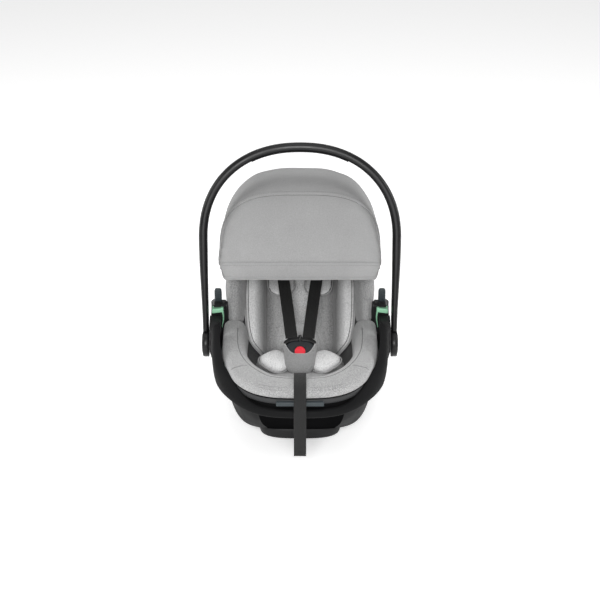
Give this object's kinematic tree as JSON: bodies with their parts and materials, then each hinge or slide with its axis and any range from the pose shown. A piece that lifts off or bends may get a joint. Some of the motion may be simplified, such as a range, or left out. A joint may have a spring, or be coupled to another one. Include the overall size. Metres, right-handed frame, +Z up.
{
  "type": "infant car seat",
  "caption": "Rear-facing infant carrier shell with padded cover, newborn insert, harness, folding canopy and a carrying handle that swings back over the head end.",
  "frame": {"origin": "on the floor under the middle of the seat's length and width, with the harness's free strap left out", "axes": "+X towards the seated child's left, -Y towards the foot end, +Y towards the head end, +Z up"},
  "size_m": [0.434, 0.6417, 0.6044],
  "materials": {
    "shell_plastic": "black moulded plastic, fine texture",
    "handle_plastic": "black moulded plastic, satin",
    "grip_rubber": "soft black grip",
    "slate_plastic": "slate grey moulded plastic",
    "mint_plastic": "mint green moulded plastic",
    "red_plastic": "red push button",
    "steel": "plain steel",
    "liner_foam": "expanded foam beads",
    "cover_fabric": "heathered grey knit",
    "insert_fabric": "pale grey melange jersey",
    "canopy_fabric": "smooth grey woven fabric",
    "webbing": "black woven webbing"
  },
  "bodies": {
    "root": {"outer_shell": "shell_plastic", "foam_liner": "liner_foam", "base_bar_front": "steel", "base_bar_rear": "steel", "base_foot": "shell_plastic", "bumper_band": "shell_plastic", "hub_housing_left": "shell_plastic", "hub_housing_right": "shell_plastic", "belt_guide_left": "mint_plastic", "belt_guide_right": "mint_plastic", "handle_axle_left": "steel", "handle_axle_right": "steel", "canopy_rear_panel": "canopy_fabric", "canopy_pivot_left": "shell_plastic", "canopy_pivot_right": "shell_plastic", "seat_cover": "cover_fabric", "head_cover": "cover_fabric", "back_pad": "cover_fabric", "seat_pad": "cover_fabric", "bolster_left": "insert_fabric", "bolster_right": "insert_fabric", "hip_pad_left": "insert_fabric", "hip_pad_right": "insert_fabric", "lumbar_pad": "insert_fabric", "buckle_body": "shell_plastic", "buckle_pouch": "cover_fabric", "crotch_strap": "webbing", "buckle_tongue_left": "shell_plastic", "buckle_tongue_right": "shell_plastic", "shoulder_strap_left": "webbing", "shoulder_strap_right": "webbing", "shoulder_pad_left": "insert_fabric", "shoulder_pad_right": "insert_fabric", "hip_strap_left": "webbing", "hip_strap_right": "webbing", "adjuster_housing": "shell_plastic", "adjuster_strap": "webbing", "shoulder_belt_guide": "mint_plastic"},
    "handle": {"handle_frame": "handle_plastic", "handle_grip": "grip_rubber", "lock_spring_left": "steel", "lock_spring_right": "steel"},
    "handle_button_left": {"handle_button_left": "slate_plastic", "lock_gear_left": "steel"},
    "handle_button_right": {"handle_button_right": "slate_plastic", "lock_gear_right": "steel"},
    "canopy_mid": {"canopy_mid_hoop": "steel", "canopy_front_panel": "canopy_fabric"},
    "canopy_front": {"canopy_front_hoop": "steel", "canopy_hem": "canopy_fabric"},
    "headrest": {"headrest_shell": "shell_plastic", "headrest_pad": "insert_fabric"},
    "buckle_button": {"buckle_button": "red_plastic"},
    "adjuster_lever": {"adjuster_lever": "steel"},
    "recline_button": {"recline_button": "slate_plastic"},
    "release_lever_left": {"release_lever_left": "slate_plastic"},
    "release_lever_right": {"release_lever_right": "slate_plastic"},
    "travel_latch_left": {"travel_latch_left": "steel"},
    "travel_latch_right": {"travel_latch_right": "steel"}
  },
  "joints": [
    {"name": "handle_swing", "type": "hinge", "parent": "root", "child": "handle", "pos_m": [0, -0.0195, 0.184], "axis": [-1, 0, 0], "range_deg": [0, 95]},
    {"name": "handle_press_left", "type": "slide", "parent": "handle", "child": "handle_button_left", "axis": [-1, 0, 0], "range_m": [0, 0.0035], "stiffness_N_per_m": 2500, "springref_m": -0.002, "deforming": ["lock_spring_left"]},
    {"name": "handle_press_right", "type": "slide", "parent": "handle", "child": "handle_button_right", "axis": [1, 0, 0], "range_m": [0, 0.0035], "stiffness_N_per_m": 2500, "springref_m": -0.002, "deforming": ["lock_spring_right"]},
    {"name": "canopy_mid_fold", "type": "hinge", "parent": "root", "child": "canopy_mid", "pos_m": [0, 0.1155, 0.31], "axis": [-1, 0, 0], "range_deg": [0, 64], "deforming": ["canopy_rear_panel", "canopy_front_panel"]},
    {"name": "canopy_front_fold", "type": "hinge", "parent": "canopy_mid", "child": "canopy_front", "pos_m": [0, 0.1155, 0.31], "axis": [-1, 0, 0], "range_deg": [0, 37]},
    {"name": "headrest_raise", "type": "slide", "parent": "root", "child": "headrest", "axis": [0, 0.6871, 0.7266], "range_m": [0, 0.018]},
    {"name": "buckle_press", "type": "slide", "parent": "root", "child": "buckle_button", "axis": [0, 0.6691, -0.7431], "range_m": [0, 0.0035], "stiffness_N_per_m": 2500, "springref_m": -0.002},
    {"name": "adjuster_press", "type": "hinge", "parent": "root", "child": "adjuster_lever", "pos_m": [0, -0.2085, 0.1925], "axis": [1, 0, 0], "range_deg": [0, 10], "stiffness_Nm_per_rad": 0.2, "springref_deg": -5.73},
    {"name": "recline_press", "type": "slide", "parent": "root", "child": "recline_button", "axis": [0, 0, -1], "range_m": [0, 0.007], "stiffness_N_per_m": 800, "springref_m": -0.003},
    {"name": "lever_lift_left", "type": "slide", "parent": "root", "child": "release_lever_left", "axis": [0, 0, 1], "range_m": [0, 0.01], "stiffness_N_per_m": 600, "springref_m": -0.003},
    {"name": "lever_lift_right", "type": "slide", "parent": "root", "child": "release_lever_right", "axis": [0, 0, 1], "range_m": [0, 0.01], "stiffness_N_per_m": 600, "springref_m": -0.003},
    {"name": "latch_draw_left", "type": "slide", "parent": "root", "child": "travel_latch_left", "axis": [0, 1, 0], "range_m": [0, 0.01]},
    {"name": "latch_draw_right", "type": "slide", "parent": "root", "child": "travel_latch_right", "axis": [0, 1, 0], "range_m": [0, 0.01]}
  ],
  "couplings": [
    {"joint": "canopy_front_fold", "follows": "canopy_mid_fold", "ratio": 0.57},
    {"joint": "latch_draw_left", "follows": "lever_lift_left", "ratio": 1},
    {"joint": "latch_draw_right", "follows": "lever_lift_right", "ratio": 1}
  ]
}
